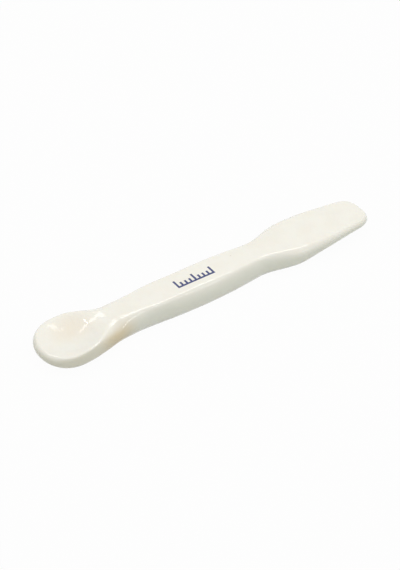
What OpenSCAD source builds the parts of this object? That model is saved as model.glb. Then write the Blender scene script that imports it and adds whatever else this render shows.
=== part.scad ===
// Spoon spatula: a one-piece laboratory tool of glazed porcelain.
// A shallow spoon bowl lies at the -X end, a stout handle in the middle, a flat blade at the +X end.
// The body is a loft. Half of the plan outline is drawn from Bezier legs, the section of the edge is
// carried along it, and the top and the underside are skinned from that edge to a spine over y = 0.
// The origin is midway along the length, on the plane of the ground foot that the tool rests on.

/* [Overall] */
// Length from the end of the bowl to the end of the blade
overall_length = 150; // [135:1:200]

/* [Spoon bowl] */
// Width of the bowl at its widest
bowl_width = 24.7; // [22:0.1:28]
// Distance from the end of the bowl to its widest place
bowl_reach = 11.7; // [10:0.1:13]
// Height of the rim beside the widest place
bowl_rim_height = 7.4; // [6.8:0.1:8.2]
// Height of the rim at the very end
bowl_end_height = 6.4; // [5.8:0.1:7.4]
// Depth of the hollow below the rim
bowl_depth = 2.2; // [1.5:0.1:2.8]
// Gap left under the bowl
bowl_clearance = 0.2; // [0.15:0.05:0.6]

/* [Neck and handle] */
// Distance from the end of the bowl to the narrow neck
neck_reach = 44; // [42:1:47]
// Width across the neck
neck_width = 15; // [14:0.1:17]
// Height of the crest where the handle leaves the bowl
neck_height = 9.15; // [8.5:0.05:10]
// Width across the swell of the handle
handle_width = 16.6; // [15:0.1:19]
// Height of the middle of the handle
handle_height = 9; // [8.5:0.1:10]
// Width across the waist before the blade
waist_width = 14.2; // [13:0.1:17]
// Height of the waist
waist_height = 8.5; // [8:0.1:9.5]

/* [Blade] */
// Distance from the waist to the end of the blade
waist_reach = 55.5; // [52:0.5:60]
// Distance from the shoulders of the blade to its end
blade_reach = 34.8; // [32:0.1:38]
// Width across the shoulders of the blade
blade_width = 22.2; // [19:0.1:25]
// Width of the blade where its corners begin
tip_width = 17.6; // [15:0.1:18]
// Height of the top of the blade at its shoulders
blade_height = 8.4; // [7.8:0.1:9]
// Height of the top of the blade at its end
tip_height = 7.05; // [6.7:0.05:7.5]
// Thickness of the blade at its end
tip_thickness = 2.65; // [2.2:0.05:3]

/* [Edges] */
// Crown of the top face over the handle and the blade
crown = 0.3; // [0:0.05:0.6]
// Thickness ground off the underside to make the foot
foot_grind = 0.25; // [0.15:0.05:0.4]

/* [Facets] */
// Points along one side of the outline for each 10 mm
facet_density = 6; // [4:1:7]

/* [Hidden] */

end_x = overall_length / 2;
bowl_x = bowl_reach - end_x;
neck_x = neck_reach - end_x;
waist_x = end_x - waist_reach;
blade_x = end_x - blade_reach;
corner_x = end_x - 7.4;
throat_x = (bowl_x + neck_x) / 2 - 2.5;
crest_x = neck_x - 7;
swell_x = neck_x + (waist_x - neck_x) / 3;
tip_under = tip_height - tip_thickness;

// Plan outline of one side: [x, half width, slope] at each place where the outline turns.
stations = [
    [bowl_x, bowl_width / 2, 0],
    [neck_x, neck_width / 2, 0.04],
    [swell_x, handle_width / 2, 0.02],
    [waist_x, waist_width / 2, -0.11],
    [blade_x, blade_width / 2, 0],
    [corner_x, tip_width / 2, -0.11],
];
leg_pull = 0.38;       // handle of each Bezier leg, as a share of its length
bowl_pull = [9.1, 5.6]; // handles of the bowl's round end, across and along
tip_pull = [4.9, 6.4];  // handles of the blade's corner, across and along

// Heights along the length: [x, z].
top_line = [
    [-end_x, bowl_end_height],
    [bowl_x, bowl_rim_height],
    [throat_x, neck_height - 0.25],
    [crest_x, neck_height],
    [0, handle_height],
    [waist_x, waist_height],
    [blade_x, blade_height],
    [end_x, tip_height],
];
under_line = [
    [-end_x, bowl_clearance + 0.6],
    [bowl_x, bowl_clearance],
    [throat_x + 3, bowl_clearance + 0.45],
    [crest_x, 0],
    [neck_x + 6, 0],
    [waist_x, 0],
    [waist_x + 14, tip_under * 0.2],
    [blade_x + 9, tip_under * 0.7],
    [end_x, tip_under],
];

// Section of the edge along the length, each value [x, size].
// How far the arris of the top face lies inside the outline:
arris_in = [
    [-end_x, 1.3], [bowl_x - 3, 1.3], [bowl_x + 7, 1.7], [throat_x, 3.4], [throat_x + 5.5, 5.1],
    [crest_x, 3.4], [neck_x + 6, 2.1], [swell_x + 5, 2.8], [waist_x, 2.1], [blade_x - 4, 2.6],
    [blade_x + 10, 1.8], [end_x, 1.1],
];
// Slope at which the side sets off from the arris, in degrees from level:
arris_tilt = [[-end_x, 25], [throat_x + 5.5, 25], [neck_x + 6, 30], [waist_x, 30], [blade_x + 10, 25]];
// How far the arris is rounded down the side:
arris_round = [
    [-end_x, 0.8], [bowl_x + 7, 0.8], [throat_x, 0.9], [throat_x + 5.5, 1.4],
    [crest_x, 1.1], [neck_x + 1, 0.5], [waist_x, 0.5], [end_x, 0.4],
];
// Height of the side above its widest line, as a share of the thickness:
side_share = [
    [-end_x, 0.37], [bowl_x, 0.28], [bowl_x + 7, 0.42], [throat_x + 2, 0.63], [crest_x, 0.62],
    [swell_x, 0.64], [waist_x, 0.64], [waist_x + 14, 0.51], [blade_x + 10, 0.44], [end_x, 0.56],
];
// How far the rounding of the lower edge reaches inwards:
lower_in = [
    [-end_x, 7.5], [bowl_x, 6], [throat_x, 6.4], [crest_x, 2.8],
    [swell_x, 1.5], [waist_x, 1.9], [blade_x + 10, 1.5], [end_x, 1.3],
];
// How far it reaches upwards, as a share of the thickness:
lower_share = [
    [-end_x, 0.53], [bowl_x, 0.43], [throat_x, 0.33], [waist_x, 0.33], [blade_x + 10, 0.35], [end_x, 0.3],
];

// Sag of the underside on the spine, before the foot is ground: [x, depth].
belly_line = [
    [-end_x, 0], [bowl_x, 0.1], [throat_x, 0.1], [crest_x, foot_grind], [waist_x, foot_grind], [end_x, 0.1],
];

// The hollow is an oval dish between the rim at the end and the crest of the neck.
dish_start = 2 - end_x;
dish_x = bowl_x + 4.8;
dish_stop = crest_x - 10;
dish_side = bowl_width / 2 - 1.55;
rim_lip = 0.3;    // softness of its lip along the rim, as a share
throat_lip = 0.9; // and where it runs out at the throat

ARRIS_RINGS = 3;
SIDE_RINGS = 5;
LOWER_RINGS = 5;
TOP_STEPS = 9;
UNDER_STEPS = 3;
SPINE_SHORT = 9;  // how far the spine stops short of each end
SPINE_FROM = 40; // place from which the points beside the spine draw together towards its ends

function bezier(a, b, c, d, t) =
    pow(1 - t, 3) * a + 3 * pow(1 - t, 2) * t * b + 3 * (1 - t) * t * t * c + pow(t, 3) * d;

function corner(a, b, c, t) = pow(1 - t, 2) * a + 2 * (1 - t) * t * b + t * t * c;

// Smooth curve through [x, value] keys, level with the nearest key beyond the first and the last.
function key_slope(keys, i) =
    let (a = keys[max(0, i - 1)], b = keys[min(len(keys) - 1, i + 1)]) (b[1] - a[1]) / (b[0] - a[0]);

function along(keys, x) =
    let (
        s = min(max(x, keys[0][0]), keys[len(keys) - 1][0]),
        i = max([for (k = [0 : len(keys) - 2]) if (k == 0 || s >= keys[k][0]) k]),
        span = keys[i + 1][0] - keys[i][0],
        t = (s - keys[i][0]) / span
    )
    keys[i][1] * (1 - t * t * (3 - 2 * t)) + keys[i + 1][1] * t * t * (3 - 2 * t)
    + span * (key_slope(keys, i) * t * pow(1 - t, 2) - key_slope(keys, i + 1) * t * t * (1 - t));

function ease(t) = let (u = min(max(t, 0), 1)) u * u * (3 - 2 * u);

// How far the hollow lies below the rim: deepest at dish_x, rolling over a soft lip all round.
function sink(x, y) =
    let (
        half = x < dish_x ? dish_x - dish_start : dish_stop - dish_x,
        inside = 1 - pow((x - dish_x) / half, 2) - pow(y / dish_side, 2),
        lip = rim_lip + (throat_lip - rim_lip) * ease((x - dish_x) / (dish_stop - dish_x))
    )
    bowl_depth * (inside < -lip ? 0 : inside < lip ? pow(inside + lip, 2) / (4 * lip) : inside);

// How far the crown lifts the top, at a share of the way from the outline to the spine.
function lift(x, share) =
    crown * ease((x - throat_x) / (crest_x - throat_x)) * min(share, 1) * (2 - min(share, 1));

// Outline of the +Y side, from the end of the bowl to the end of the blade.
function leg_steps(length) = max(4, round(length * facet_density / 10));

function leg(a, b) =
    let (
        pull = leg_pull * (b[0] - a[0]),
        p = [a[0], a[1]],
        q = [b[0], b[1]],
        steps = leg_steps(b[0] - a[0])
    )
    [for (i = [0 : steps - 1]) bezier(p, p + pull * [1, a[2]], q - pull * [1, b[2]], q, i / steps)];

function bowl_end() =
    let (p = [-end_x, 0], q = [stations[0][0], stations[0][1]], steps = leg_steps(20))
    [for (i = [0 : steps - 1]) bezier(p, p + [0, bowl_pull[0]], q - [bowl_pull[1], 0], q, i / steps)];

function blade_end() =
    let (
        a = stations[len(stations) - 1],
        p = [a[0], a[1]],
        q = [end_x, 0],
        steps = leg_steps(20)
    )
    [for (i = [0 : steps]) bezier(p, p + tip_pull[1] * [1, a[2]], q + [0, tip_pull[0]], q, i / steps)];

outline = concat(
    bowl_end(),
    [for (k = [0 : len(stations) - 2]) each leg(stations[k], stations[k + 1])],
    blade_end()
);
LAST = len(outline) - 1;
LOOP = 2 * LAST;

function unit(v) = v / norm(v);

function outward(i) =
    i == 0 ? [-1, 0] :
    i == LAST ? [1, 0] :
    let (d = unit(outline[i + 1] - outline[i - 1])) [-d[1], d[0]];

// A place on a closed loop: the loop runs along +Y to the blade and back along -Y.
function fold(k) = k <= LAST ? k : LOOP - k;

function side(k) = k <= LAST ? 1 : -1;

function inset_point(k, inset) =
    let (i = fold(k), p = outline[i] - inset * outward(i)) [p[0], side(k) * p[1]];

function spine_x(k) =
    let (x = outline[fold(k)][0])
    x - sign(x) * SPINE_SHORT * ease((abs(x) - SPINE_FROM) / (end_x - SPINE_FROM));

function reach(k) = norm(outline[fold(k)] - [spine_x(k), 0]);

function ring_above(k, inset, drop) =
    let (p = inset_point(k, inset))
    [p[0], p[1], along(top_line, p[0]) + lift(p[0], inset / reach(k)) - sink(p[0], p[1]) - drop];

function ring_below(k, inset, rise) =
    let (p = inset_point(k, inset)) [p[0], p[1], along(under_line, p[0]) + rise];

function thickness(x) = along(top_line, x) - along(under_line, x);

// Section of the edge above its widest line, as [inset, drop]: an elliptical side that sets off from the
// arris at a slope, with the corner between it and the top face rounded.
function side_section(x, ring) =
    let (
        inwards = along(arris_in, x),
        drop = thickness(x) * along(side_share, x),
        steepness = tan(along(arris_tilt, x)) * inwards / drop,
        first = asin(steepness / (1 - steepness)),
        across = inwards / (1 - sin(first)),
        tall = drop / cos(first),
        soft = first + along(arris_round, x) / norm([across * cos(first), tall * sin(first)]) * 180 / PI,
        turn = soft + (90 - soft) * max(0, ring - ARRIS_RINGS + 1) / SIDE_RINGS,
        place = [across * (1 - sin(turn)), tall * (cos(first) - cos(turn))],
        bend = place[0] + place[1] * across * cos(soft) / (tall * sin(soft)),
        brink = bend + norm([bend - place[0], place[1]])
    )
    ring < ARRIS_RINGS ? corner([brink, 0], [bend, 0], place, ring / (ARRIS_RINGS - 1)) : place;

function edge_above(k, ring) =
    let (p = side_section(outline[fold(k)][0], ring)) ring_above(k, p[0], p[1]);

function edge_below(k, ring) =
    let (
        x = outline[fold(k)][0],
        turn = 90 * ring / (LOWER_RINGS - 1),
        rise = thickness(x) * along(lower_share, x)
    )
    ring_below(k, along(lower_in, x) * (1 - cos(turn)), rise * (1 - sin(turn)));

// The faces between the edge and the spine: share runs from 0 at the edge to 1 on the spine.
function top_point(k, share) =
    let (
        rim = edge_above(k, 0),
        x = rim[0] + (spine_x(k) - rim[0]) * share,
        y = rim[1] * (1 - share),
        taken = side_section(outline[fold(k)][0], 0)[0] / reach(k)
    )
    [x, y, along(top_line, x) + lift(x, taken + (1 - taken) * share) - sink(x, y)];

function under_point(k, share) =
    let (
        rim = edge_below(k, LOWER_RINGS - 1),
        x = rim[0] + (spine_x(k) - rim[0]) * share
    )
    [x, rim[1] * (1 - share), along(under_line, x) - along(belly_line, x) * share * (2 - share)];

// Loops of vertices from the top of the spine, over the edge, to the underside of the spine.
top_loops = [for (j = [TOP_STEPS - 1 : -1 : 1]) [for (k = [0 : LOOP - 1]) top_point(k, j / TOP_STEPS)]];
edge_loops = concat(
    [for (r = [0 : ARRIS_RINGS + SIDE_RINGS - 1]) [for (k = [0 : LOOP - 1]) edge_above(k, r)]],
    [for (r = [0 : LOWER_RINGS - 1]) [for (k = [0 : LOOP - 1]) edge_below(k, r)]]
);
under_loops = [for (j = [1 : UNDER_STEPS - 1]) [for (k = [0 : LOOP - 1]) under_point(k, j / UNDER_STEPS)]];
loops = concat(top_loops, edge_loops, under_loops);
spine_above = [for (k = [0 : LAST]) top_point(k, 1)];
spine_below = [for (k = [0 : LAST]) under_point(k, 1)];
points = concat([for (loop = loops) each loop], spine_above, spine_below);

SOLE = (len(loops) - 1) * LOOP; // index of the first vertex of the last loop
ABOVE = SOLE + LOOP;            // index of the first vertex of the upper spine
BELOW = ABOVE + LAST + 1;       // index of the first vertex of the lower spine

// Two triangles, wound clockwise seen from outside.
function quad(a, b, c, d) = [[a, c, b], [a, d, c]];

function next(k) = (k + 1) % LOOP;

faces = concat(
    [for (n = [0 : len(loops) - 2]) for (k = [0 : LOOP - 1])
        each quad(n * LOOP + k, n * LOOP + next(k), (n + 1) * LOOP + next(k), (n + 1) * LOOP + k)],
    [for (k = [0 : LOOP - 1])
        each quad(ABOVE + fold(k), ABOVE + fold(next(k)), next(k), k)],
    [for (k = [0 : LOOP - 1])
        each quad(SOLE + k, SOLE + next(k), BELOW + fold(next(k)), BELOW + fold(k))]
);

// The body as it leaves the mould, with its underside slightly full.
module moulded_body() {
    polyhedron(points = points, faces = faces, convexity = 6);
}

// Everything below the plane on which the tool is ground flat.
module grinding_stock() {
    translate([-overall_length, -bowl_width, -5]) cube([2 * overall_length, 2 * bowl_width, 5]);
}

module spatula() {
    color([0.95, 0.94, 0.88]) difference() {
        moulded_body();
        grinding_stock();
    }
}

spatula();
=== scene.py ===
"""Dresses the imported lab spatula, a one-piece spoon spatula of glazed porcelain.

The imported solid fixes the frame. The visual body is a loft of the same kind, with a more closely drawn edge
and a much finer mesh, so that the glaze can carry the faint unevenness of a dipped and fired coat and throw
clean lights. Sizes of the body are in millimetres until its mesh is made, and those of the finishes and the
stage are in metres. The origin lies on the plane of the ground foot.
"""

from __future__ import annotations

import logging
import math
from dataclasses import dataclass, field
from enum import Enum

import bpy
import numpy as np
from mathutils import Matrix, Vector

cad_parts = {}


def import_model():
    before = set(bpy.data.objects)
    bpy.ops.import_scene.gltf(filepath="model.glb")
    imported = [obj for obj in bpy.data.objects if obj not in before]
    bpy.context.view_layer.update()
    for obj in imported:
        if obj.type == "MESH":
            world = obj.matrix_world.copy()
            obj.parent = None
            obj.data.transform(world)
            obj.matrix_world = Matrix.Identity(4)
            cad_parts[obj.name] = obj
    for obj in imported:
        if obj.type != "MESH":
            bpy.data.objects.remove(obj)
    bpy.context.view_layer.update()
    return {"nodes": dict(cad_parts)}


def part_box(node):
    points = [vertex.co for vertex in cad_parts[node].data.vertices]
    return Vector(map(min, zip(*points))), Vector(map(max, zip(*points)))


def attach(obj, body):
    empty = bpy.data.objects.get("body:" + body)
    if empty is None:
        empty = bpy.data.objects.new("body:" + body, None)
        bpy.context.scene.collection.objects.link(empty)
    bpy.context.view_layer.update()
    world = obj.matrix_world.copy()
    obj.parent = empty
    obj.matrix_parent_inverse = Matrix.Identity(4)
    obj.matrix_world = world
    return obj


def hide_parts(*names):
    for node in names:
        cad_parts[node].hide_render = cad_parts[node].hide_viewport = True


LOG = logging.getLogger("spatula")
MM = 0.001
NODE = "spatula"
BODY = "root"

Colour = tuple[float, float, float, float]
Triple = tuple[float, float, float]
WHITE: Colour = (1.0, 1.0, 1.0, 1.0)


def linear(red: float, green: float, blue: float) -> Colour:
    """Turn a display colour, 0 to 255 a channel, into the linear colour that shaders take.

    Args:
        red: Red channel.
        green: Green channel.
        blue: Blue channel.

    Returns:
        The linear colour with an alpha of 1.
    """
    shares = [channel / 255 for channel in (red, green, blue)]
    made = [s / 12.92 if s <= 0.04045 else ((s + 0.055) / 1.055) ** 2.4 for s in shares]
    return (made[0], made[1], made[2], 1.0)


def smooth_share(share: np.ndarray) -> np.ndarray:
    """Ease a share from 0 to 1, level at both ends."""
    held = np.clip(share, 0.0, 1.0)
    return held * held * (3 - 2 * held)


# ---------------------------------------------------------------------------------------------- shape


@dataclass(frozen=True)
class Rule:
    """A smooth line through [x, value] keys, such as the height of the top along the tool.

    Attributes:
        keys: Places along the tool with the value there, in rising order of place.
    """

    keys: tuple[tuple[float, float], ...]

    def at(self, place: np.ndarray) -> np.ndarray:
        """Read the line.

        Args:
            place: Places along the tool.

        Returns:
            The values there; beyond the first and last keys the line stays level.
        """
        x, value = (np.array(column, float) for column in zip(*self.keys))
        below, above = np.maximum(np.arange(len(x)) - 1, 0), np.minimum(np.arange(len(x)) + 1, len(x) - 1)
        slope = (value[above] - value[below]) / (x[above] - x[below])
        held = np.clip(place, x[0], x[-1])
        i = np.clip(np.searchsorted(x, held, side="right") - 1, 0, len(x) - 2)
        span = x[i + 1] - x[i]
        t = (held - x[i]) / span
        blend = t * t * (3 - 2 * t)
        pull = span * (slope[i] * t * (1 - t) ** 2 - slope[i + 1] * t * t * (1 - t))
        return value[i] * (1 - blend) + value[i + 1] * blend + pull


def bezier(points: list[np.ndarray], shares: np.ndarray) -> np.ndarray:
    """Run along a cubic Bezier leg.

    Args:
        points: Its four control points.
        shares: Shares of the leg, 0 to 1.

    Returns:
        One point for each share.
    """
    t = shares[:, None]
    a, b, c, d = points
    return (1 - t) ** 3 * a + 3 * (1 - t) ** 2 * t * b + 3 * (1 - t) * t * t * c + t**3 * d


def rounded(a: np.ndarray, b: np.ndarray, c: np.ndarray, t: float) -> np.ndarray:
    """Run along the quadratic curve that rounds the corner b between a and c."""
    return (1 - t) ** 2 * a + 2 * (1 - t) * t * b + t * t * c


@dataclass(frozen=True)
class PlanOutline:
    """Half of the tool seen from above, from the end of the bowl to the end of the blade.

    Attributes:
        length: Length of the whole tool.
        stations: Place, half width and slope wherever the outline turns.
        leg_pull: Handle of each Bezier leg, as a share of its length.
        bowl_pull: Handles of the bowl's round end, across and along.
        tip_pull: Handles of the blade's corner, across and along.
        samples: Points along each leg, before they are spaced evenly.
        step: Distance between points along the outline.
    """

    length: float = 150.0
    stations: tuple[Triple, ...] = (
        (-63.3, 12.35, 0.0),
        (-31.0, 7.5, 0.04),
        (-14.0, 8.3, 0.02),
        (19.5, 7.1, -0.11),
        (40.2, 11.1, 0.0),
        (67.6, 8.8, -0.11),
    )
    leg_pull: float = 0.38
    bowl_pull: tuple[float, float] = (9.1, 5.6)
    tip_pull: tuple[float, float] = (4.9, 6.4)
    samples: int = 200
    step: float = 0.4

    def points(self) -> np.ndarray:
        """Lay out the outline of the +Y side, evenly spaced along its run.

        Returns:
            Points with their x and y, the first and the last on the long axis.
        """
        end = self.length / 2
        shares = np.linspace(0, 1, self.samples)
        at = [np.array(station[:2]) for station in self.stations]
        legs = [
            bezier(
                [
                    np.array([-end, 0.0]),
                    np.array([-end, self.bowl_pull[0]]),
                    at[0] - np.array([self.bowl_pull[1], 0.0]),
                    at[0],
                ],
                shares,
            )
        ]
        for first, second, p, q in zip(self.stations, self.stations[1:], at, at[1:]):
            pull = self.leg_pull * (second[0] - first[0])
            handles = [p + pull * np.array([1, first[2]]), q - pull * np.array([1, second[2]])]
            legs.append(bezier([p, *handles, q], shares))
        corner = at[-1] + self.tip_pull[1] * np.array([1, self.stations[-1][2]])
        tip = np.array([end, 0.0])
        legs.append(bezier([at[-1], corner, tip + np.array([0, self.tip_pull[0]]), tip], shares))
        dense = np.vstack([leg[:-1] for leg in legs] + [legs[-1][-1:]])
        run = np.concatenate([[0], np.cumsum(np.linalg.norm(np.diff(dense, axis=0), axis=1))])
        places = np.linspace(0, run[-1], round(run[-1] / self.step) + 1)
        return np.column_stack([np.interp(places, run, dense[:, axis]) for axis in (0, 1)])

    def outward(self, points: np.ndarray) -> np.ndarray:
        """Find the directions that point out of the outline.

        Args:
            points: The outline's points.

        Returns:
            One unit direction for each point.
        """
        along = np.gradient(points, axis=0)
        out = np.column_stack([-along[:, 1], along[:, 0]])
        out[0], out[-1] = (-1, 0), (1, 0)
        return out / np.linalg.norm(out, axis=1)[:, None]


@dataclass(frozen=True)
class EdgeSection:
    """The section carried along the outline: a softened arris, a bulging side and a rounded lower edge.

    Attributes:
        arris_in: How far the arris lies inside the outline.
        arris_tilt: Slope at which the side sets off from the arris, in degrees from level.
        arris_round: How far the arris is rounded down the side.
        side_drop: Height from the top face down to the widest line.
        lower_in: How far the lower edge reaches inwards under the tool.
        lower_up: How far it reaches up the side.
        arris_rings: Loops of points over the arris.
        side_rings: Loops of points from there down to the widest line.
        lower_rings: Loops of points round the lower edge.
    """

    arris_in: Rule = Rule(
        (
            (-75, 1.8),
            (-73, 1.6),
            (-71, 1.1),
            (-68, 0.8),
            (-65, 0.65),
            (-61, 0.65),
            (-58, 0.8),
            (-55, 1.4),
            (-53, 2.1),
            (-50, 3.3),
            (-47, 4.6),
            (-44, 5.1),
            (-41, 4.2),
            (-37, 3.2),
            (-32, 2.5),
            (-25, 2.1),
            (-9, 2.8),
            (20, 2.1),
            (36, 2.6),
            (50, 1.8),
            (75, 1.1),
        )
    )
    arris_tilt: Rule = Rule(
        (
            (-75, 15),
            (-71, 15),
            (-66, 20),
            (-60, 25),
            (-44, 24),
            (-30, 22),
            (-14, 22),
            (20, 23),
            (40, 25),
            (50, 25),
        )
    )
    arris_round: Rule = Rule(
        (
            (-75, 0.5),
            (-66, 0.6),
            (-56, 0.7),
            (-50, 0.9),
            (-44, 1.4),
            (-38, 1.1),
            (-30, 0.5),
            (20, 0.5),
            (75, 0.4),
        )
    )
    side_drop: Rule = Rule(
        (
            (-75, 2.1),
            (-62, 2.0),
            (-56, 3.4),
            (-48, 5.3),
            (-38, 5.7),
            (-14, 5.8),
            (20, 5.5),
            (34, 3.8),
            (50, 2.3),
            (75, 1.5),
        )
    )
    lower_in: Rule = Rule(
        ((-75, 7.5), (-64, 6.0), (-50, 6.4), (-38, 2.8), (-14, 1.5), (20, 1.9), (50, 1.5), (75, 1.3))
    )
    lower_up: Rule = Rule(
        ((-75, 3), (-64, 3.1), (-50, 2.7), (-38, 3.1), (-14, 3), (20, 2.8), (34, 2.6), (50, 1.8), (75, 0.8))
    )
    arris_rings: int = 9
    side_rings: int = 14
    lower_rings: int = 12

    def above(self, place: np.ndarray) -> list[np.ndarray]:
        """Draw the arris and the side.

        Args:
            place: Place along the tool for each point of the outline.

        Returns:
            One array of [inset, drop] rows for each ring, from the top face down.
        """
        inwards, drop = self.arris_in.at(place), self.side_drop.at(place)
        steepness = np.tan(np.radians(self.arris_tilt.at(place))) * inwards / drop
        first = np.arcsin(steepness / (1 - steepness))
        across, tall = inwards / (1 - np.sin(first)), drop / np.cos(first)
        soft = first + self.arris_round.at(place) / np.hypot(across * np.cos(first), tall * np.sin(first))

        def on_side(turn: np.ndarray) -> np.ndarray:
            return np.column_stack([across * (1 - np.sin(turn)), tall * (np.cos(first) - np.cos(turn))])

        end = on_side(soft)
        corner = end[:, 0] + end[:, 1] * across * np.cos(soft) / (tall * np.sin(soft))
        brink = corner + np.hypot(corner - end[:, 0], end[:, 1])
        level = np.zeros(len(place))
        flat, turned = np.column_stack([brink, level]), np.column_stack([corner, level])
        arris = [rounded(flat, turned, end, t) for t in np.linspace(0, 1, self.arris_rings)]
        side = [on_side(soft + (math.pi / 2 - soft) * t) for t in np.linspace(0, 1, self.side_rings + 1)[1:]]
        return arris + side

    def below(self, place: np.ndarray) -> list[np.ndarray]:
        """Draw the rounding of the lower edge.

        Args:
            place: Place along the tool for each point of the outline.

        Returns:
            One array of [inset, lift] rows for each ring, from the side inwards.
        """
        inwards, upwards = self.lower_in.at(place), self.lower_up.at(place)
        return [
            np.column_stack([inwards * (1 - math.cos(turn)), upwards * (1 - math.sin(turn))])
            for turn in np.linspace(0, math.pi / 2, self.lower_rings)
        ]


@dataclass(frozen=True)
class SpoonHollow:
    """The oval dish of the spoon bowl.

    Attributes:
        start: Where the dish starts, near the end of the bowl.
        deepest: Where it is deepest.
        stop: Where it ends, at the throat.
        reach: How far it reaches to each side.
        depth: Depth at its deepest.
        lip: Softness of the lip, as a share.
        throat_lip: Softness of the lip where the dish runs out at the throat.
    """

    start: float = -73.0
    deepest: float = -58.5
    stop: float = -48.0
    reach: float = 10.8
    depth: float = 2.2
    lip: float = 0.3
    throat_lip: float = 0.9

    def sink(self, x: np.ndarray, y: np.ndarray) -> np.ndarray:
        """Measure how far the hollow lies below the rim.

        Args:
            x: Places along the tool.
            y: Places across it.

        Returns:
            The depth at each place.
        """
        half = np.where(x < self.deepest, self.deepest - self.start, self.stop - self.deepest)
        inside = 1 - ((x - self.deepest) / half) ** 2 - (y / self.reach) ** 2
        onwards = smooth_share((x - self.deepest) / (self.stop - self.deepest))
        lip = self.lip + (self.throat_lip - self.lip) * onwards
        rolled = (inside + lip) ** 2 / (4 * lip)
        return self.depth * np.where(inside < -lip, 0, np.where(inside < lip, rolled, inside))


@dataclass(frozen=True)
class GlazeWaves:
    """The faint unevenness of a dipped and fired glaze, as thickness missing from its surface.

    Attributes:
        swell: Height of the long waves.
        ripple: Height of the short waves.
        swell_length: Length of the long waves.
        ripple_length: Length of the short waves.
        spread: The shortest and the longest wave of a kind, as shares of its length.
        count: Number of waves of each kind.
        seed: Start of the draw of their directions.
    """

    swell: float = 0.016
    ripple: float = 0.007
    swell_length: float = 9.0
    ripple_length: float = 2.6
    spread: tuple[float, float] = (0.75, 1.4)
    count: int = 9
    seed: int = 7

    def missing(self, points: np.ndarray) -> np.ndarray:
        """Measure the thickness missing at each point.

        Args:
            points: Points on the surface.

        Returns:
            A thickness of 0 or more at each point.
        """
        draw = np.random.default_rng(self.seed)
        total = np.zeros(len(points))
        for height, length in ((self.swell, self.swell_length), (self.ripple, self.ripple_length)):
            for _ in range(self.count):
                way = draw.normal(size=3)
                way *= math.tau / (length * draw.uniform(*self.spread)) / np.linalg.norm(way)
                total += height / self.count * (1 + np.sin(points @ way + draw.uniform(0, math.tau)))
        return total


class Region(Enum):
    """Parts of the surface that are finished apart, by the place of their finish in the material list."""

    GLAZED = 0
    FOOT = 1


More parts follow.
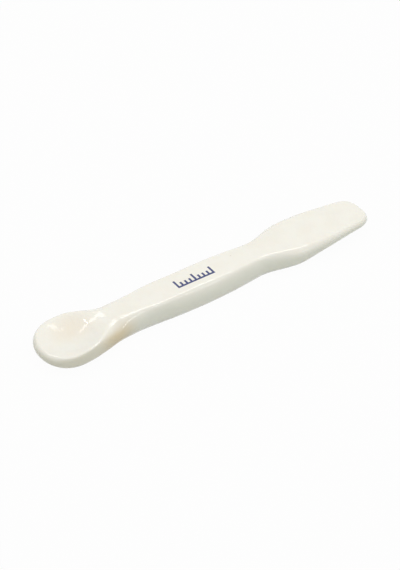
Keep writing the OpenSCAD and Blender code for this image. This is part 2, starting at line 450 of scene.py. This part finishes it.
@dataclass
class SpatulaBody:
    """The whole tool: the loft of its edge section round the outline, with the top and the underside.

    Attributes:
        outline: The tool seen from above.
        edge: The section of its edge.
        hollow: The dish of the spoon bowl.
        waves: The unevenness of the glaze.
        top_line: Height of the top along the tool.
        under_line: Height of the underside along the tool.
        belly_line: How far the moulded underside sags on the long axis before it is ground.
        crown: Rise of the top face over the handle and the blade.
        throat: Place where the crown starts to rise.
        crest: Place where it is full.
        spine_short: How far the spine stops short of each end of the tool.
        spine_from: Place from which the points beside the spine draw together towards its ends.
        top_rings: Loops of points from the arris to the spine.
        under_rings: Loops of points from the lower edge to the spine.
    """

    outline: PlanOutline = field(default_factory=PlanOutline)
    edge: EdgeSection = field(default_factory=EdgeSection)
    hollow: SpoonHollow = field(default_factory=SpoonHollow)
    waves: GlazeWaves = field(default_factory=GlazeWaves)
    top_line: Rule = Rule(
        ((-75, 6.4), (-64, 7.4), (-50, 8.9), (-38, 9.15), (0, 9.0), (20, 8.5), (40.5, 8.4), (75, 7.05))
    )
    under_line: Rule = Rule(
        ((-75, 0.75), (-64, 0.2), (-47, 0.6), (-38, 0), (-25, 0), (20, 0), (34, 0.95), (49.5, 3.1), (75, 4.4))
    )
    belly_line: Rule = Rule(((-75, 0), (-64, 0.1), (-50, 0.1), (-38, 0.25), (20, 0.25), (75, 0.1)))
    crown: float = 0.3
    throat: float = -50.0
    crest: float = -38.0
    spine_short: float = 9.0
    spine_from: float = 40.0
    top_rings: int = 24
    under_rings: int = 9

    def crowned(self, x: np.ndarray, share: np.ndarray) -> np.ndarray:
        """Measure how far the crown lifts the top.

        Args:
            x: Places along the tool.
            share: Share of the way from the outline to the spine.

        Returns:
            The lift at each place.
        """
        opened = smooth_share((x - self.throat) / (self.crest - self.throat))
        return self.crown * opened * share * (2 - share)

    def half_loops(self) -> tuple[list[np.ndarray], np.ndarray, np.ndarray]:
        """Skin the +Y half.

        Returns:
            Loops of points from beside the upper spine to beside the lower one, then the two spines.
        """
        rim = self.outline.points()
        out = self.outline.outward(rim)
        far = np.abs(rim[:, 0])
        spine = rim[:, 0] - np.sign(rim[:, 0]) * self.spine_short * smooth_share(
            (far - self.spine_from) / (far.max() - self.spine_from)
        )
        reach = np.hypot(rim[:, 0] - spine, rim[:, 1])

        def upper(inset: np.ndarray, drop: np.ndarray) -> np.ndarray:
            flat = rim - inset[:, None] * out
            x = flat[:, 0]
            lift = self.crowned(x, np.clip(inset / reach, 0, 1)) - self.hollow.sink(x, flat[:, 1])
            return np.column_stack([flat, self.top_line.at(x) + lift - drop])

        edge_rings = [upper(ring[:, 0], ring[:, 1]) for ring in self.edge.above(rim[:, 0])]
        brink = edge_rings[0]
        taken = np.hypot(brink[:, 0] - rim[:, 0], brink[:, 1] - rim[:, 1]) / reach
        top_rings = []
        for k in range(self.top_rings, 0, -1):
            share = k / self.top_rings
            x = brink[:, 0] + (spine - brink[:, 0]) * share
            y = brink[:, 1] * (1 - share)
            lift = self.crowned(x, taken + (1 - taken) * share)
            top_rings.append(np.column_stack([x, y, self.top_line.at(x) + lift - self.hollow.sink(x, y)]))
        lower_rings = []
        for ring in self.edge.below(rim[:, 0]):
            flat = rim - ring[:, :1] * out
            lower_rings.append(np.column_stack([flat, self.under_line.at(flat[:, 0]) + ring[:, 1]]))
        sole = lower_rings[-1]
        under_rings = []
        for k in range(1, self.under_rings + 1):
            share = k / self.under_rings
            x = sole[:, 0] + (spine - sole[:, 0]) * share
            sag = self.belly_line.at(x) * share * (2 - share)
            under_rings.append(np.column_stack([x, sole[:, 1] * (1 - share), self.under_line.at(x) - sag]))
        loops = top_rings[1:] + edge_rings + lower_rings + under_rings[:-1]
        return loops, top_rings[0], under_rings[-1]

    def points_and_faces(self) -> tuple[np.ndarray, list[tuple[int, ...]]]:
        """Mirror the half into the whole body.

        Returns:
            The points, and the faces as indices of points, wound anticlockwise seen from outside.
        """
        loops, upper_spine, lower_spine = self.half_loops()
        last = len(upper_spine) - 1
        around = 2 * last
        flip = np.array([1, -1, 1])
        whole = [np.vstack([loop, (loop * flip)[last - 1 : 0 : -1]]) for loop in loops]
        points = np.vstack(whole + [upper_spine, lower_spine])
        above = len(loops) * around
        below = above + last + 1

        def folded(k: int) -> int:
            return k if k <= last else around - k

        faces: list[tuple[int, ...]] = []
        for k in range(around):
            n = (k + 1) % around
            faces.append(tuple(dict.fromkeys((above + folded(k), above + folded(n), n, k))))
            for ring in range(len(loops) - 1):
                a, b = ring * around, (ring + 1) * around
                faces.append((a + k, a + n, b + n, b + k))
            a = (len(loops) - 1) * around
            faces.append(tuple(dict.fromkeys((a + k, a + n, below + folded(n), below + folded(k)))))
        return points, faces

    def build(self) -> bpy.types.Object:
        """Make the body's mesh.

        Returns:
            The object, with its foot ground flat and its faces sorted by region.
        """
        points, faces = self.points_and_faces()
        mesh = bpy.data.meshes.new("spatula_glazed")
        mesh.from_pydata((points * MM).tolist(), [], faces)
        mesh.update()
        normals = np.zeros(len(points) * 3, np.float32)
        mesh.vertices.foreach_get("normal", normals)
        points = points - normals.reshape(-1, 3) * self.waves.missing(points)[:, None]
        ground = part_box(NODE)[0][2] / MM
        points[:, 2] = np.maximum(points[:, 2], ground)
        mesh.vertices.foreach_set("co", (points * MM).astype(np.float32).ravel())
        mesh.shade_smooth()
        on_ground = points[:, 2] <= ground
        for polygon in mesh.polygons:
            if all(on_ground[i] for i in polygon.vertices):
                polygon.material_index = Region.FOOT.value
        mesh.update()
        body = bpy.data.objects.new("spatula_glazed", mesh)
        bpy.context.scene.collection.objects.link(body)
        return body


# ------------------------------------------------------------------------------------------- finishes


@dataclass(frozen=True)
class Patch:
    """A soft oval place on the tool.

    Attributes:
        middle: Its middle.
        reach: How far it reaches each way.
        core: Share of the reach that is marked in full.
    """

    middle: Triple
    reach: Triple
    core: float = 0.15


class Bench:
    """A node tree under construction, with short ways to place and to join its nodes."""

    def __init__(self, tree: bpy.types.NodeTree) -> None:
        """Take the tree that is built up."""
        self.tree = tree

    def feed(self, socket: bpy.types.NodeSocket, value: object) -> None:
        """Fill a socket.

        Args:
            socket: The socket.
            value: A plain value, or the socket that feeds it.
        """
        if isinstance(value, bpy.types.NodeSocket):
            self.tree.links.new(value, socket)
        else:
            socket.default_value = value

    def place(self, kind: str, fills: dict[str, object] | None = None, **settings: object) -> bpy.types.Node:
        """Place a node.

        Args:
            kind: Kind of node.
            fills: What goes into its sockets, by their names.
            **settings: Its settings, by their names.

        Returns:
            The node.
        """
        made = self.tree.nodes.new(kind)
        for name, value in settings.items():
            setattr(made, name, value)
        for name, value in (fills or {}).items():
            self.feed(made.inputs[name], value)
        return made

    def math(self, operation: str, *values: object) -> bpy.types.NodeSocket:
        """Work out a value.

        Args:
            operation: What is done, as the Math node names it.
            *values: The values that go in, plain or as sockets.

        Returns:
            The socket of the result.
        """
        made = self.place("ShaderNodeMath", operation=operation)
        for socket, value in zip(made.inputs, values):
            self.feed(socket, value)
        return made.outputs[0]

    def eased(self, value: object, low: float, high: float) -> bpy.types.NodeSocket:
        """Turn a value into a share that eases from 0 at low to 1 at high."""
        fills = {"Value": value, "From Min": low, "From Max": high}
        return self.place("ShaderNodeMapRange", fills, interpolation_type="SMOOTHSTEP").outputs[0]

    def tinted(self, share: object, first: object, second: object) -> bpy.types.NodeSocket:
        """Mix two colours.

        Args:
            share: Share of the second colour.
            first: The first colour.
            second: The second colour.

        Returns:
            The socket of the mixed colour.
        """
        made = self.place("ShaderNodeMix", data_type="RGBA")
        for socket, value in ((made.inputs[0], share), (made.inputs[6], first), (made.inputs[7], second)):
            self.feed(socket, value)
        return made.outputs[2]

    def position(self) -> bpy.types.NodeSocket:
        """Read the place on the tool, in metres."""
        return self.place("ShaderNodeTexCoord").outputs["Object"]

    def facing_up(self) -> bpy.types.NodeSocket:
        """Read how far the surface faces up: 1 where it is level, 0 where it is upright."""
        normal = self.place("ShaderNodeTexCoord").outputs["Normal"]
        return self.place("ShaderNodeSeparateXYZ", {"Vector": normal}).outputs["Z"]

    def spot(self, patch: Patch) -> bpy.types.NodeSocket:
        """Mark a soft oval place on the tool.

        Args:
            patch: Where it lies.

        Returns:
            A mask of 1 in its middle that fades to 0 at its reach.
        """
        moved = self.place("ShaderNodeVectorMath", {"Vector": self.position()}, operation="SUBTRACT")
        moved.inputs[1].default_value = patch.middle
        scaled = self.place("ShaderNodeVectorMath", {"Vector": moved.outputs[0]}, operation="DIVIDE")
        scaled.inputs[1].default_value = patch.reach
        length = self.place("ShaderNodeVectorMath", {"Vector": scaled.outputs[0]}, operation="LENGTH")
        return self.eased(length.outputs["Value"], 1.0, patch.core)

    def show(self, output: str, share: object, first: bpy.types.Node, second: bpy.types.Node) -> None:
        """Mix two shaders into what the tree puts out.

        Args:
            output: Kind of output node.
            share: Share of the second shader.
            first: The first shader.
            second: The second shader.
        """
        mix = self.place("ShaderNodeMixShader", {"Fac": share})
        self.feed(mix.inputs[1], first.outputs[0])
        self.feed(mix.inputs[2], second.outputs[0])
        self.place(output, {"Surface": mix.outputs[0]})


def new_group(
    name: str, wanted: tuple[str, ...], given: tuple[str, ...]
) -> tuple[Bench, bpy.types.Node, bpy.types.Node]:
    """Start a shader node group.

    Args:
        name: Its name.
        wanted: Its inputs.
        given: Its outputs.

    Returns:
        The bench for its nodes, its input node and its output node.
    """
    tree = bpy.data.node_groups.new(name, "ShaderNodeTree")
    for label in wanted:
        tree.interface.new_socket(name=label, in_out="INPUT", socket_type="NodeSocketFloat")
    for label in given:
        tree.interface.new_socket(name=label, in_out="OUTPUT", socket_type="NodeSocketFloat")
    bench = Bench(tree)
    return bench, bench.place("NodeGroupInput"), bench.place("NodeGroupOutput")


def new_finish(name: str) -> tuple[bpy.types.Material, Bench, bpy.types.Node]:
    """Start a material.

    Args:
        name: Its name.

    Returns:
        The material, the bench for its nodes and its shader.
    """
    made = bpy.data.materials.new(name)
    made.use_nodes = True
    return made, Bench(made.node_tree), made.node_tree.nodes["Principled BSDF"]


@dataclass(frozen=True)
class KilnMarks:
    """How the kiln marked one surface.

    Attributes:
        broad: Closeness of the clouds.
        fine: Closeness of the grain.
        cells: Closeness of the cells that can hold a speck.
        size: Size of the specks, as a share of a cell.
        rarity: Share of the cells that stay empty.
    """

    broad: float
    fine: float
    cells: float
    size: float
    rarity: float


class FiringEffects:
    """What the kiln leaves on every surface: cloudy tone, pin specks and a fine grain."""

    CLOUD_DETAIL = 4.0
    GRAIN_DETAIL = 3.0
    NOISE_ROUGHNESS = 0.55

    def __init__(self) -> None:
        """Build the groups once."""
        self.clouds = self.cloud_group()
        self.specks = self.speck_group()

    def cloud_group(self) -> bpy.types.NodeTree:
        """Build the cloudy tone.

        Returns:
            A group that puts out broad clouds and a fine grain, both about 0.5 in the middle.
        """
        bench, wanted, given = new_group("kiln_clouds", ("Broad", "Fine"), ("Cloud", "Grain"))
        place = bench.position()
        for label, source, detail in (
            ("Cloud", "Broad", self.CLOUD_DETAIL),
            ("Grain", "Fine", self.GRAIN_DETAIL),
        ):
            fills = {"Vector": place, "Scale": wanted.outputs[source], "Detail": detail}
            noise = bench.place("ShaderNodeTexNoise", {**fills, "Roughness": self.NOISE_ROUGHNESS})
            bench.feed(given.inputs[label], noise.outputs["Fac"])
        return bench.tree

    def speck_group(self) -> bpy.types.NodeTree:
        """Build the pin specks.

        Returns:
            A group that puts out a mask of small round specks, set in some of the cells of a grid.
        """
        bench, wanted, given = new_group("pin_specks", ("Scale", "Size", "Rarity"), ("Mask",))
        fills = {"Vector": bench.position(), "Scale": wanted.outputs["Scale"]}
        cells = bench.place("ShaderNodeTexVoronoi", fills)
        split = bench.place("ShaderNodeSeparateColor", {"Color": cells.outputs["Color"]})
        size = bench.math("MULTIPLY", wanted.outputs["Size"], split.outputs["Green"])
        near = bench.math("LESS_THAN", cells.outputs["Distance"], size)
        chosen = bench.math("GREATER_THAN", split.outputs["Red"], wanted.outputs["Rarity"])
        bench.feed(given.inputs["Mask"], bench.math("MULTIPLY", near, chosen))
        return bench.tree

    def on(self, bench: Bench, marks: KilnMarks) -> tuple[bpy.types.NodeSocket, ...]:
        """Put the effects on a surface.

        Args:
            bench: Bench of its material.
            marks: How the kiln marked it.

        Returns:
            The sockets of the clouds, the grain and the mask of the specks.
        """
        fills = {"Broad": marks.broad, "Fine": marks.fine}
        clouds = bench.place("ShaderNodeGroup", fills, node_tree=self.clouds)
        fills = {"Scale": marks.cells, "Size": marks.size, "Rarity": marks.rarity}
        specks = bench.place("ShaderNodeGroup", fills, node_tree=self.specks)
        return clouds.outputs["Cloud"], clouds.outputs["Grain"], specks.outputs["Mask"]


@dataclass(frozen=True)
class TickScale:
    """A plain scale of ticks, fired in under the glaze on the top of the handle.

    Attributes:
        start: Place of the first tick.
        pitch: Distance between ticks.
        ticks: Number of ticks.
        long_every: One tick in so many is long.
        foot: Where the base line runs, across the tool.
        short: Height of a short tick.
        tall: Height of a long tick.
        stroke: Width of each stroke.
        bleed: How far the pigment's edge fades.
        colour: Colour of the pigment.
    """

    start: float = -0.0145
    pitch: float = 0.002
    ticks: int = 9
    long_every: int = 4
    foot: float = -0.0026
    short: float = 0.0023
    tall: float = 0.0041
    stroke: float = 0.00088
    bleed: float = 0.0001
    colour: Colour = linear(16, 34, 104)

    def bar(self, bench: Bench, off: bpy.types.NodeSocket, half: object) -> bpy.types.NodeSocket:
        """Draw a stroke.

        Args:
            bench: Bench of the material.
            off: Distance from the middle of the stroke.
            half: Half of its width.

        Returns:
            A mask that is 1 on the stroke.
        """
        past = bench.math("SUBTRACT", bench.math("ABSOLUTE", off), half)
        return bench.eased(past, self.bleed / 2, -self.bleed / 2)

    def mask(self, bench: Bench) -> bpy.types.NodeSocket:
        """Draw the scale.

        Args:
            bench: Bench of the material.

        Returns:
            A mask that is 1 on the pigment.
        """
        split = bench.place("ShaderNodeSeparateXYZ", {"Vector": bench.position()})
        along = bench.math("DIVIDE", bench.math("SUBTRACT", split.outputs["X"], self.start), self.pitch)
        count = bench.math("ROUND", along)
        off_tick = bench.math("MULTIPLY", bench.math("SUBTRACT", along, count), self.pitch)
        past_long = bench.math("MODULO", bench.math("ABSOLUTE", count), self.long_every)
        is_short = bench.math("GREATER_THAN", past_long, 0.5)
        height = bench.math("MULTIPLY_ADD", is_short, self.short - self.tall, self.tall)
        half_height = bench.math("MULTIPLY", height, 0.5)
        up = bench.math("SUBTRACT", split.outputs["Y"], self.foot)
        tick = bench.math(
            "MULTIPLY",
            self.bar(bench, off_tick, self.stroke / 2),
            self.bar(bench, bench.math("SUBTRACT", up, half_height), half_height),
        )
        span = (self.ticks - 1) * self.pitch
        off_middle = bench.math("SUBTRACT", split.outputs["X"], self.start + span / 2)
        within = self.bar(bench, off_middle, (span + self.stroke) / 2)
        line = self.bar(bench, up, self.stroke / 2)
        drawn = bench.math("MULTIPLY", bench.math("MAXIMUM", tick, line), within)
        on_top = bench.math("GREATER_THAN", bench.facing_up(), 0.5)
        return bench.math("MULTIPLY", drawn, on_top)


@dataclass(frozen=True)
class PorcelainGlaze:
    """A clear gloss glaze over a warm white porcelain.

    Attributes:
        colour: Colour of the body seen through the glaze.
        cloudy: Colour of its cloudier patches.
        dish_tint: A warmer, darker colour in the dish, set a little to its +Y side.
        side_shade: Painted side shade, a greener and darker colour where the surface turns upright.
        wall_shade: Painted shade with a warm tint, a darker colour down the outer wall of the bowl.
        throat_shade: Painted shade with a brown tint, a darker colour on the slopes beside the throat.
        speck: Colour of the pin specks.
        gloss: Roughness of the fired surface.
        dulled: Roughness of its dullest patches, as a multiple of that.
        clouded: Tones of the clouds between which the cloudy colour sets in.
        steep: Facing at which a side starts to count as steep, and at which it does in full.
        sloping: The same for a slope.
        side_shading: Strength of that painted side shade.
        dish_tinting: Strength of the dish tint.
        speckle: Strength of the specks.
        dish: Where the dish is tinted.
        wall: Where the painted shade down the outer wall of the bowl lies.
        throat: Where that painted shade beside the throat lies.
        brushed: Where finishing left faint strokes.
        strokes: Closeness of those strokes.
        stroke_bend: How far they waver.
        bend_scale: Closeness of their wavering.
        stroke_depth: Depth of the strokes.
        grain: Strength of the grain in the surface.
        grain_depth: Depth of that grain.
        marks: What the kiln left.
        scale: The marks under the glaze.
    """

    colour: Colour = linear(242, 239, 228)
    cloudy: Colour = linear(240, 236, 224)
    # Warmer, darker tint in the dish, set a little to its +Y side.
    dish_tint: Colour = linear(237, 228, 211)
    # Painted shade: greener and darker where the surface turns upright.
    side_shade: Colour = linear(236, 237, 222)
    # Painted shade: warm and darker down the outer wall of the bowl.
    wall_shade: Colour = linear(232, 227, 206)
    # Painted shade: brown and darker on the slopes beside the throat.
    throat_shade: Colour = linear(213, 193, 148)
    speck: Colour = linear(150, 128, 98)
    gloss: float = 0.3
    dulled: float = 1.6
    clouded: tuple[float, float] = (0.35, 0.68)
    steep: tuple[float, float] = (0.85, 0.1)
    sloping: tuple[float, float] = (0.97, 0.5)
    side_shading: float = 0.9
    dish_tinting: float = 0.85
    speckle: float = 0.3
    dish: Patch = Patch((-0.0585, 0.004, 0.006), (0.013, 0.009, 0.006))
    wall: Patch = Patch((-0.062, 0.0, 0.0035), (0.026, 0.03, 0.03))
    throat: Patch = Patch((-0.0475, 0.0, 0.0045), (0.0145, 0.022, 0.01))
    brushed: Patch = Patch((-0.0585, 0.001, 0.006), (0.0175, 0.014, 0.006))
    strokes: float = 160.0
    stroke_bend: float = 1.5
    bend_scale: float = 0.6
    stroke_depth: float = 0.000018
    grain: float = 0.25
    grain_depth: float = 0.00002
    marks: KilnMarks = KilnMarks(broad=140.0, fine=900.0, cells=230.0, size=0.11, rarity=0.9)
    scale: TickScale = field(default_factory=TickScale)

    def tone(
        self, bench: Bench, cloud: bpy.types.NodeSocket, specks: bpy.types.NodeSocket
    ) -> bpy.types.NodeSocket:
        """Mix the colour.

        Args:
            bench: Bench of the material.
            cloud: The clouds.
            specks: Mask of the specks.

        Returns:
            The socket of the colour.
        """
        up = bench.facing_up()
        steep, sloping = bench.eased(up, *self.steep), bench.eased(up, *self.sloping)
        tone = bench.tinted(bench.eased(cloud, *self.clouded), self.colour, self.cloudy)
        for share, strength, colour in (
            # painted shade on the upright sides
            (steep, self.side_shading, self.side_shade),
            # warmer, darker tint in the dish
            (bench.spot(self.dish), self.dish_tinting, self.dish_tint),
            # painted shade down the outer wall of the bowl
            (bench.spot(self.wall), steep, self.wall_shade),
            # painted shade on the slopes beside the throat
            (bench.spot(self.throat), sloping, self.throat_shade),
            (specks, self.speckle, self.speck),
        ):
            tone = bench.tinted(bench.math("MULTIPLY", share, strength), tone, colour)
        return bench.tinted(self.scale.mask(bench), tone, self.scale.colour)

    def material(self, effects: FiringEffects) -> bpy.types.Material:
        """Mix the finish.

        Args:
            effects: The groups that all fired surfaces share.

        Returns:
            The material.
        """
        made, bench, shader = new_finish("porcelain_glaze")
        cloud, grain, specks = effects.on(bench, self.marks)
        rough = {"Value": cloud, "To Min": self.gloss, "To Max": self.gloss * self.dulled}
        skin = {"Height": grain, "Strength": self.grain, "Distance": self.grain_depth}
        strokes = {
            "Vector": bench.position(),
            "Scale": self.strokes,
            "Distortion": self.stroke_bend,
            "Detail Scale": self.bend_scale,
        }
        stroke = bench.place("ShaderNodeTexWave", strokes).outputs["Fac"]
        stroked = bench.math("MULTIPLY", stroke, bench.spot(self.brushed))
        coat = {"Height": stroked, "Distance": self.stroke_depth}
        for name, value in (
            ("Base Color", self.tone(bench, cloud, specks)),
            ("Roughness", bench.place("ShaderNodeMapRange", rough).outputs[0]),
            ("Normal", bench.place("ShaderNodeBump", skin).outputs["Normal"]),
            ("Coat Normal", bench.place("ShaderNodeBump", coat).outputs["Normal"]),
            ("IOR", 1.5),
            ("Coat Weight", 1.0),
            ("Coat Roughness", 0.03),
            ("Coat IOR", 1.5),
            ("Subsurface Weight", 0.1),
            ("Subsurface Scale", 0.001),
            ("Subsurface Radius", (1.0, 0.8, 0.55)),
        ):
            bench.feed(shader.inputs[name], value)
        return made


@dataclass(frozen=True)
class BiscuitFoot:
    """The ground foot, where the unglazed porcelain shows.

    Attributes:
        colour: Colour of the fired body.
        smoked: Colour of its patches that rubbed on the kiln shelf.
        speck: Colour of the grit in it.
        clouded: Tones of the clouds between which the smoked colour sets in.
        speckle: Strength of the grit.
        rough: Least and greatest roughness.
        grain: Strength of the grain in the surface.
        grain_depth: Depth of that grain.
        marks: What the kiln left.
    """

    colour: Colour = linear(232, 227, 213)
    smoked: Colour = linear(216, 208, 190)
    speck: Colour = linear(134, 120, 98)
    clouded: tuple[float, float] = (0.3, 0.75)
    speckle: float = 0.7
    rough: tuple[float, float] = (0.55, 0.85)
    grain: float = 0.5
    grain_depth: float = 0.0001
    marks: KilnMarks = KilnMarks(broad=220.0, fine=2600.0, cells=420.0, size=0.14, rarity=0.75)

    def material(self, effects: FiringEffects) -> bpy.types.Material:
        """Mix the finish.

        Args:
            effects: The groups that all fired surfaces share.

        Returns:
            The material.
        """
        made, bench, shader = new_finish("biscuit_foot")
        cloud, grain, specks = effects.on(bench, self.marks)
        tone = bench.tinted(bench.eased(cloud, *self.clouded), self.colour, self.smoked)
        tone = bench.tinted(bench.math("MULTIPLY", specks, self.speckle), tone, self.speck)
        rough = {"Value": grain, "To Min": self.rough[0], "To Max": self.rough[1]}
        skin = {"Height": grain, "Strength": self.grain, "Distance": self.grain_depth}
        bench.feed(shader.inputs["Base Color"], tone)
        bench.feed(shader.inputs["Roughness"], bench.place("ShaderNodeMapRange", rough).outputs[0])
        bench.feed(shader.inputs["Normal"], bench.place("ShaderNodeBump", skin).outputs["Normal"])
        return made


# ---------------------------------------------------------------------------------------------- stage


@dataclass(frozen=True)
class StripLight:
    """A long soft light that hangs over the table.

    Attributes:
        name: Its name.
        azimuth: Its bearing, in degrees from +X towards +Y.
        elevation: Its height above the horizon, in degrees.
        power: Its power, in watts.
        length: Its length.
        width: Its width.
        along: The direction in which its long side runs.
        distance: Distance from the middle of the tool.
    """

    name: str
    azimuth: float
    elevation: float
    power: float
    length: float
    width: float
    along: Triple
    distance: float = 1.2

    def build(self) -> bpy.types.Object:
        """Hang the light, turned towards the tool."""
        lamp = bpy.data.lights.new(self.name, "AREA")
        lamp.shape = "RECTANGLE"
        lamp.size, lamp.size_y = self.length, self.width
        lamp.energy = self.power
        turn, rise = math.radians(self.azimuth), math.radians(self.elevation)
        way = Vector((math.cos(turn) * math.cos(rise), math.sin(turn) * math.cos(rise), math.sin(rise)))
        across = way.cross(Vector(self.along)).normalized()
        axes = Matrix((across.cross(way), across, way)).transposed()
        hung = bpy.data.objects.new(self.name, lamp)
        hung.location = way * self.distance
        hung.rotation_mode = "QUATERNION"
        hung.rotation_quaternion = axes.to_quaternion()
        bpy.context.scene.collection.objects.link(hung)
        return hung


def seen_directly(bench: Bench) -> bpy.types.NodeSocket:
    """Tell whether a ray comes from the camera, or from it by way of a reflection or a clear piece.

    Args:
        bench: Bench of the material or the world that asks.

    Returns:
        A value of 1 for such a ray and 0 for light that only falls on the tool.
    """
    path = bench.place("ShaderNodeLightPath").outputs
    thrown = bench.math("MAXIMUM", path["Is Glossy Ray"], path["Is Transmission Ray"])
    return bench.math("MAXIMUM", path["Is Camera Ray"], thrown)


@dataclass(frozen=True)
class WhiteTable:
    """The pale table and the plain surround.

    Attributes:
        colour: Colour of the table top.
        side: Length of its side.
        zenith: Strength of the light that comes from straight above.
        horizon: Strength of the light that comes from the sides.
        front: Strength of the wide light in front of the table.
        front_way: The direction in which it hangs.
        front_least: Least share of it, which comes from every other side too.
        front_fade: How fast it fades away from that direction.
        whiteness: How far the seen table is lifted to plain white, as a share.
        mirrored: Colour of the surround where the tool mirrors it.
    """

    colour: Colour = linear(198, 199, 196)
    side: float = 3.0
    zenith: float = 1.2
    horizon: float = 0.04
    front: float = 0.42
    front_way: Triple = (-0.1, -0.7, 0.7)
    front_least: float = 0.5
    front_fade: float = 2.0
    whiteness: float = 0.965
    mirrored: Colour = (0.86, 0.89, 0.9, 1.0)

    def build(self) -> bpy.types.Object:
        """Lay the table and set the surround.

        Returns:
            The table top.
        """
        half = self.side / 2
        corners = [(-half, -half, 0), (half, -half, 0), (half, half, 0), (-half, half, 0)]
        mesh = bpy.data.meshes.new("table_top")
        mesh.from_pydata(corners, [], [(0, 1, 2, 3)])
        mesh.materials.append(self.top_finish())
        table = bpy.data.objects.new("table_top", mesh)
        bpy.context.scene.collection.objects.link(table)
        self.set_surround()
        return table

    def top_finish(self) -> bpy.types.Material:
        """Mix the table's finish: matt, and lifted to white where the camera or a reflection sees it."""
        made = bpy.data.materials.new("white_table")
        made.use_nodes = True
        made.node_tree.nodes.clear()
        bench = Bench(made.node_tree)
        matt = bench.place("ShaderNodeBsdfDiffuse", {"Color": self.colour})
        white = bench.place("ShaderNodeEmission", {"Color": WHITE})
        lifted = bench.math("MULTIPLY", seen_directly(bench), self.whiteness)
        bench.show("ShaderNodeOutputMaterial", lifted, matt, white)
        return made

    def set_surround(self) -> None:
        """Light the scene from all round, with white where the camera or a reflection sees past the table."""
        world = bpy.data.worlds.new("surround")
        world.use_nodes = True
        bpy.context.scene.world = world
        world.node_tree.nodes.clear()
        bench = Bench(world.node_tree)
        way = bench.place("ShaderNodeTexCoord").outputs["Generated"]
        rise = bench.place("ShaderNodeSeparateXYZ", {"Vector": way}).outputs["Z"]
        above = bench.math("MULTIPLY_ADD", bench.math("MULTIPLY", rise, rise), self.zenith, self.horizon)
        towards = bench.place("ShaderNodeVectorMath", {"Vector": way}, operation="DOT_PRODUCT")
        towards.inputs[1].default_value = self.front_way
        ahead = bench.math("MAXIMUM", towards.outputs["Value"], self.front_least)
        strength = bench.math("MULTIPLY_ADD", bench.math("POWER", ahead, self.front_fade), self.front, above)
        light = bench.place("ShaderNodeBackground", {"Color": WHITE, "Strength": strength})
        by_camera = bench.place("ShaderNodeLightPath").outputs["Is Camera Ray"]
        shown = bench.tinted(by_camera, self.mirrored, WHITE)
        plain = bench.place("ShaderNodeBackground", {"Color": shown, "Strength": 1.0})
        bench.show("ShaderNodeOutputWorld", seen_directly(bench), light, plain)


@dataclass(frozen=True)
class BenchCamera:
    """The camera, which looks down along the tool from beyond the bowl.

    Attributes:
        azimuth: Its bearing: 0 looks along +Y.
        elevation: Its height above the horizon, in degrees.
        distance: Distance from the aim.
        aim: The point that it is turned towards.
        lens: Focal length for a 36 mm sensor on the picture's long side.
        framing: Shift of the picture right and up, as shares of its long side.
    """

    azimuth: float = -35.431
    elevation: float = 38.745
    distance: float = 0.77109
    aim: Triple = (0.0, 0.0, 0.0045)
    lens: float = 127.77
    framing: tuple[float, float] = (-0.01166, -0.0091)

    def build(self) -> bpy.types.Object:
        """Set the camera up and make it the scene's."""
        data = bpy.data.cameras.new("bench_camera")
        data.lens = self.lens
        data.shift_x, data.shift_y = self.framing
        turn, rise = math.radians(self.azimuth), math.radians(self.elevation)
        back = Vector((math.sin(turn) * math.cos(rise), -math.cos(turn) * math.cos(rise), math.sin(rise)))
        camera = bpy.data.objects.new("bench_camera", data)
        camera.location = Vector(self.aim) + back * self.distance
        camera.rotation_mode = "QUATERNION"
        camera.rotation_quaternion = (-back).to_track_quat("-Z", "Y")
        bpy.context.scene.collection.objects.link(camera)
        bpy.context.scene.camera = camera
        return camera


LIGHTS = (
    StripLight(
        name="edge_light",
        azimuth=-6,
        elevation=66,
        power=1.6,
        length=0.38,
        width=0.35,
        along=(0, 1, 0),
    ),
    StripLight(
        name="dish_strip",
        azimuth=30,
        elevation=66.8,
        power=0.27,
        length=0.52,
        width=0.07,
        along=(0.22, -0.97, 0.12),
    ),
    StripLight(
        name="back_strip",
        azimuth=90.3,
        elevation=52.8,
        power=0.17,
        length=0.27,
        width=0.07,
        along=(0.845, 0.435, -0.31),
    ),
    StripLight(
        name="rim_light",
        azimuth=110,
        elevation=58.5,
        power=1.0,
        length=0.37,
        width=0.1,
        along=(0.16, -0.84, 0.52),
    ),
    StripLight(
        name="front_strip",
        azimuth=-63,
        elevation=33,
        power=0.45,
        length=0.31,
        width=0.07,
        along=(1, 0, 0),
    ),
)


def main() -> None:
    """Load the frame, then build the camera, the table, the lights and the tool."""
    logging.basicConfig(level=logging.INFO, format="%(name)s: %(message)s")
    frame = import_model()
    LOG.info("frame nodes: %s", ", ".join(frame["nodes"]))

    bpy.context.scene.view_settings.view_transform = "Standard"
    BenchCamera().build()
    WhiteTable().build()
    for light in LIGHTS:
        light.build()
        LOG.info("light: %s", light.name)

    body = SpatulaBody().build()
    effects = FiringEffects()
    for finish in (PorcelainGlaze(), BiscuitFoot()):
        body.data.materials.append(finish.material(effects))
    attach(body, BODY)
    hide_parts(NODE)
    LOG.info("piece: %s, %d faces", body.name, len(body.data.polygons))


if __name__ == "__main__":
    main()
